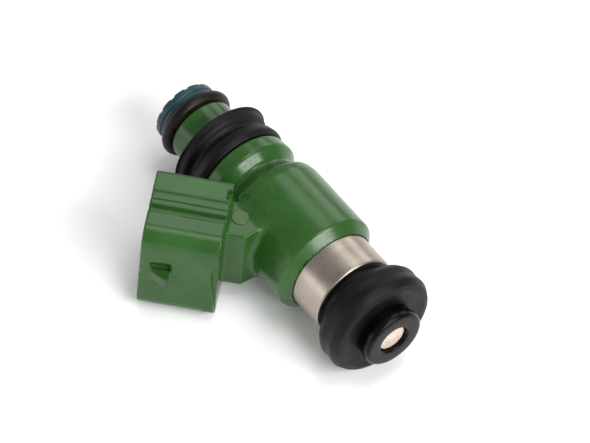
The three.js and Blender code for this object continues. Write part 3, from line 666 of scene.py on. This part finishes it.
# The filter's plastic head: a grooved rim, with shallow notches round its open end.
_, cap_high, cap_radius = span("filter_cap")
CAP_NOTCHES = 12
CAP_NOTCH_HALF_SIZE = (0.4, 0.32, 1.3)  # across, along Y, inwards
CAP_NOTCH_EDGE = 0.12
cap_section = TurnedDistance(
    [
        (1.7, 47.05, 0.1),
        (2.4, 47.05, 0.1),
        (2.4, 50.2, 0.1),
        (cap_radius, 50.2, 0.3),
        (cap_radius, 50.85, 0.2),
        (cap_radius - 0.3, 51.0, 0.08),
        (cap_radius, 51.15, 0.2),
        (cap_radius, cap_high, 0.45),
        (3.6, cap_high, 0.3),
        (3.0, 51.7, 0.3),
        (1.7, 51.4, 0.3),
    ],
    reach=8.0,
    closed=True,
)


def cap_distance(x, y, z):
    made = cap_section(x, y, z)
    turn = 2 * math.pi / CAP_NOTCHES
    angle = np.arctan2(z, x)
    angle = angle - turn * np.round(angle / turn)
    r = np.hypot(x, z)
    notch = box3(
        r * np.sin(angle), y - cap_high, r - cap_radius, CAP_NOTCH_HALF_SIZE, CAP_NOTCH_EDGE
    )
    return cut(made, notch, CAP_NOTCH_EDGE)


moulded(
    "filter_cap_moulding", cap_distance, CAP_STEP, TEAL, "injector", "filter_cap"
)

# ---- Rubber, caps and metal --------------------------------------------------------------------
_, seal_high, _ = span("lower_seal")
turned(
    "lower_seal_rubber",
    [
        (4.46, 2.05, 0.05),
        (5.2, 2.05, 0.2),
        (7.5, 1.95, 0.8),
        (8.35, 2.2, 0.5),
        (8.95, 3.3, 0.9),
        (8.75, 4.7, 1.0),
        (8.86, 5.9, 0.9),
        (8.2, 7.0, 0.6),
        (7.0, 7.3, 0.4),
        (6.0, 7.45, 0.3),
        (6.0, seal_high, 0.1),
        (4.46, seal_high, 0.1),
    ],
    BLACK_RUBBER,
    "injector",
    ("lower_seal",),
)

grommet_low, grommet_high, _ = span("upper_grommet")
turned(
    "upper_grommet_rubber",
    [
        (5.36, grommet_low, 0.1),
        (7.75, grommet_low, 0.3),
        (8.1, 38.3, 0.9),
        (7.75, 39.8, 0.8),
        (6.85, 40.35, 0.6),
        (6.85, 41.1, 0.8),
        (7.8, 41.75, 0.6),
        (7.97, 42.75, 0.25),
        (8.3, 42.92, 0.08),
        (8.26, 43.12, 0.08),
        (7.5, grommet_high, 0.2),
        (5.36, grommet_high, 0.1),
    ],
    BLACK_RUBBER,
    "injector",
    ("upper_grommet",),
)

O_RING_POINTS = 32  # round its section


def make_o_ring():
    low, high, outer_radius = span("inlet_o_ring")
    section = (high - low) / 2
    centre = outer_radius - section
    middle = (low + high) / 2
    angles = [2 * math.pi * i / O_RING_POINTS for i in range(O_RING_POINTS)]
    outline = [(centre + section * math.cos(a), middle + section * math.sin(a)) for a in angles]
    vertices, faces = lathe(outline)
    add_piece(
        "inlet_o_ring_rubber",
        vertices,
        faces,
        O_RING_RUBBER,
        "injector",
        ("inlet_o_ring",),
    )


make_o_ring()

shell_low, shell_high, shell_radius = span("solenoid_shell")
turned(
    "steel_sleeve",
    [
        (4.5, shell_low, 0.1),
        (shell_radius, shell_low, 0.35),
        (shell_radius, shell_high, 0.1),
        (6.2, shell_high, 0.1),
        (6.2, 10.26, 0.2),
        (4.5, 10.26, 0.1),
    ],
    STEEL,
    "injector",
    ("solenoid_shell",),
)

tip_low, tip_high, tip_radius = span("tip_cap")
turned(
    "tip_cap_moulding",
    [
        (2.42, tip_low, 0.3),
        (tip_radius, tip_low, 0.6),
        (tip_radius, 0.8, 0.45),
        (4.8, 0.8, 0.1),
        (4.8, tip_high, 0.1),
        (4.46, tip_high, 0.05),
        (4.46, 0.2, 0.05),
        (2.42, 0.2, 0.05),
    ],
    GLOSS_BLACK,
    "injector",
    ("tip_cap",),
)

# ---- Carried-over CAD nodes --------------------------------------------------------------------
SURFACES = {
    "terminal_blade_a": TINNED,
    "terminal_blade_b": TINNED,
    "inlet_tube": INNER_STEEL,
    "adjusting_tube": INNER_STEEL,
    "filter_mesh": FILTER,
    "coil_bobbin": BOBBIN,
    "coil_winding": COPPER,
    "yoke_washer": INNER_STEEL,
    "nonmagnetic_ring": INNER_STEEL,
    "valve_body": INNER_STEEL,
    "valve_seat": INNER_STEEL,
    "valve_ball": INNER_STEEL,
    "needle": INNER_STEEL,
    "armature": INNER_STEEL,
    "return_spring": INNER_STEEL,
    "orifice_plate": PLATE,
}
for node_name, surface in SURFACES.items():
    mesh = nodes[node_name].data
    mesh.materials.clear()
    mesh.materials.append(surface)

# ---- Floor and light ---------------------------------------------------------------------------
FLOOR_SIZE = 4.0  # metres
FLOOR_GREY = 0.95
FLOOR_GLOW = 0.05
WORLD_STRENGTH = 0.4
# name, direction from the object, distance, width and height in metres, and radiance
LIGHTS = [
    ("front", (0.1, -0.72, 0.68), 1.2, (0.95, 0.22), 18.0),
    ("front_low", (-0.1, -0.93, 0.35), 1.2, (1.1, 0.4), 1.8),
    ("behind_high", (0.42, 0.47, 0.77), 1.3, (0.5, 0.4), 2.4),
    ("behind_right", (0.8, 0.47, 0.38), 1.3, (0.5, 0.45), 2.2),
    ("behind_left", (-0.88, 0.47, 0.1), 1.3, (0.7, 0.5), 2.0),
    ("overhead", (0.1, -0.05, 1.0), 1.4, (0.7, 0.5), 5.5),
]


def make_floor():
    mesh = bpy.data.meshes.new("floor")
    half = FLOOR_SIZE / 2
    corners = [(-half, -half, 0), (half, -half, 0), (half, half, 0), (-half, half, 0)]
    mesh.from_pydata(corners, [], [(0, 1, 2, 3)])
    n = Nodes("pale_floor")
    grey = (FLOOR_GREY, FLOOR_GREY, FLOOR_GREY, 1.0)
    n.set(Base_Color=grey, Roughness=0.6, Specular_IOR_Level=0.2)
    n.set(Emission_Color=(1.0, 1.0, 1.0, 1.0), Emission_Strength=FLOOR_GLOW)
    mesh.materials.append(n.material)
    floor = bpy.data.objects.new("floor", mesh)
    floor.location.z = cad_low.z
    bpy.context.scene.collection.objects.link(floor)


def area_light(name, direction, distance, size, radiance):
    """A soft box of the given width and height, in metres, that faces the object."""
    width, height = size
    data = bpy.data.lights.new(name, "AREA")
    data.shape = "RECTANGLE"
    data.size, data.size_y = width, height
    data.energy = radiance * math.pi * width * height
    light = bpy.data.objects.new(name, data)
    light.location = CAMERA_AIM + Vector(direction).normalized() * distance
    light.rotation_mode = "QUATERNION"
    light.rotation_quaternion = (CAMERA_AIM - light.location).to_track_quat("-Z", "Y")
    bpy.context.scene.collection.objects.link(light)


def make_lights():
    world = bpy.data.worlds.new("studio")
    world.use_nodes = True
    background = world.node_tree.nodes["Background"]
    background.inputs["Color"].default_value = (1.0, 1.0, 1.0, 1.0)
    background.inputs["Strength"].default_value = WORLD_STRENGTH
    bpy.context.scene.world = world
    for light in LIGHTS:
        area_light(*light)


make_floor()
make_lights()
bpy.context.scene.view_settings.view_transform = "Standard"
